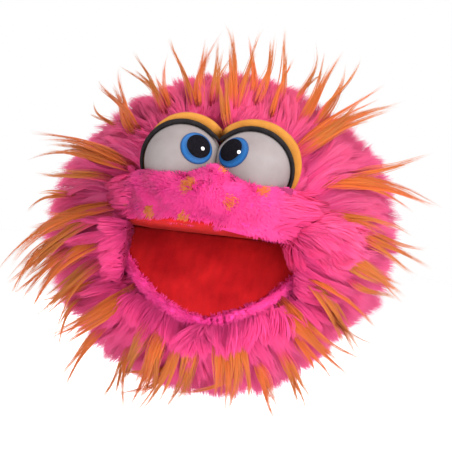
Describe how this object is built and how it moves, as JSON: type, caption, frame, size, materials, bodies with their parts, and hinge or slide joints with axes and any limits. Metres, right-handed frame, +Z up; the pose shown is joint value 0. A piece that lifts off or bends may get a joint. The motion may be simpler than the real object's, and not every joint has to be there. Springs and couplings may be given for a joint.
{
  "type": "moving mouth puppet",
  "caption": "Furry ball hand puppet with padded eyes and a wide felt mouth that opens by hand through a hem at the back.",
  "frame": {"origin": "centre of the hand opening's rim, at the back of the ball", "axes": "+Z up, -Y towards the face, +X the puppet's own left"},
  "size_m": [0.2497, 0.1702, 0.2419],
  "materials": {
    "long_fur": "long pile faux fur, combed outwards",
    "short_plush": "sheared plush with small orange flecks",
    "tuft_fibre": "straight glossy pile locks",
    "red_plush": "short velour",
    "wadding": "loose polyester filling",
    "lining": "plain woven lining",
    "elastic": "woven elastic webbing",
    "eye_felt": "smooth brushed knit over a padded ball",
    "lid_felt": "felt",
    "lash_felt": "felt cord",
    "stiff_board": "flexible sheet stiffener",
    "iris_blue": "satin",
    "pupil_black": "gloss",
    "glint_white": "gloss"
  },
  "bodies": {
    "back": {"back_coat_left": "long_fur", "back_coat_right": "long_fur", "cheek_left": "long_fur", "cheek_right": "long_fur", "back_padding": "wadding", "sleeve_lining": "lining", "hem_ring": "elastic", "mouth_fold": "red_plush", "tuft_side_1": "tuft_fibre", "tuft_side_2": "tuft_fibre", "tuft_side_3": "tuft_fibre", "tuft_side_4": "tuft_fibre", "tuft_side_5": "tuft_fibre", "tuft_side_6": "tuft_fibre", "tuft_side_7": "tuft_fibre", "tuft_side_8": "tuft_fibre", "tuft_side_9": "tuft_fibre"},
    "upper": {"palate_felt": "red_plush", "palate_board": "stiff_board", "finger_pocket": "lining", "crown_coat": "long_fur", "crown_padding": "wadding", "muzzle_coat": "short_plush", "muzzle_padding": "wadding", "eye_ball_left": "eye_felt", "eye_lid_left": "lid_felt", "eye_lash_left": "lash_felt", "iris_left": "iris_blue", "pupil_left": "pupil_black", "glint_left": "glint_white", "eye_ball_right": "eye_felt", "eye_lid_right": "lid_felt", "eye_lash_right": "lash_felt", "iris_right": "iris_blue", "pupil_right": "pupil_black", "glint_right": "glint_white", "tuft_crown_1": "tuft_fibre", "tuft_crown_2": "tuft_fibre", "tuft_crown_3": "tuft_fibre", "tuft_crown_4": "tuft_fibre", "tuft_crown_5": "tuft_fibre", "tuft_crown_6": "tuft_fibre", "tuft_crown_7": "tuft_fibre", "tuft_crown_8": "tuft_fibre", "tuft_crown_9": "tuft_fibre"},
    "jaw": {"tongue_felt": "red_plush", "tongue_board": "stiff_board", "thumb_pocket": "lining", "jaw_coat": "long_fur", "jaw_padding": "wadding", "tuft_chin_1": "tuft_fibre", "tuft_chin_2": "tuft_fibre", "tuft_chin_3": "tuft_fibre", "tuft_chin_4": "tuft_fibre", "tuft_chin_5": "tuft_fibre", "tuft_chin_6": "tuft_fibre", "tuft_chin_7": "tuft_fibre"}
  },
  "joints": [
    {"name": "upper_lift", "type": "hinge", "parent": "back", "child": "upper", "pos_m": [0, -0.1, 0], "axis": [-1, 0, 0], "range_deg": [-3, 8], "deforming": ["cheek_left", "cheek_right"]},
    {"name": "jaw_open", "type": "hinge", "parent": "back", "child": "jaw", "pos_m": [0, -0.1, 0], "axis": [1, 0, 0], "range_deg": [-49, 12], "deforming": ["cheek_left", "cheek_right"]}
  ]
}
